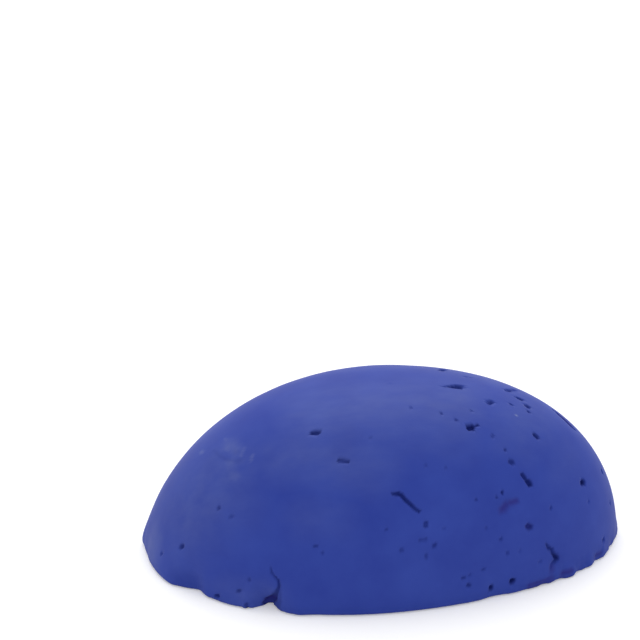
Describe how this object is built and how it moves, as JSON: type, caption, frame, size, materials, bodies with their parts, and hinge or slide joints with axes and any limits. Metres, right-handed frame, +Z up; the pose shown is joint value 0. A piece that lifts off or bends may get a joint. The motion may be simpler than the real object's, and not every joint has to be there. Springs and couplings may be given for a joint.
{
  "type": "soft pastel stick",
  "caption": "Hand-formed soft pastel: a half egg of pressed pigment with a flat foot, a pitted skin, open cracks, a torn cleft in its rim and a crumbled end.",
  "frame": {"origin": "middle of the bounding box on the plane of the flat foot", "axes": "+X along the length towards the narrower, crumbled end, +Y away from the side with the cleft, +Z up from the foot to the crown"},
  "size_m": [0.0512, 0.029, 0.0197],
  "materials": {
    "pressed_pigment": "matte powdery ultramarine blue"
  },
  "bodies": {
    "root": {"pastel": "pressed_pigment"}
  },
  "joints": []
}
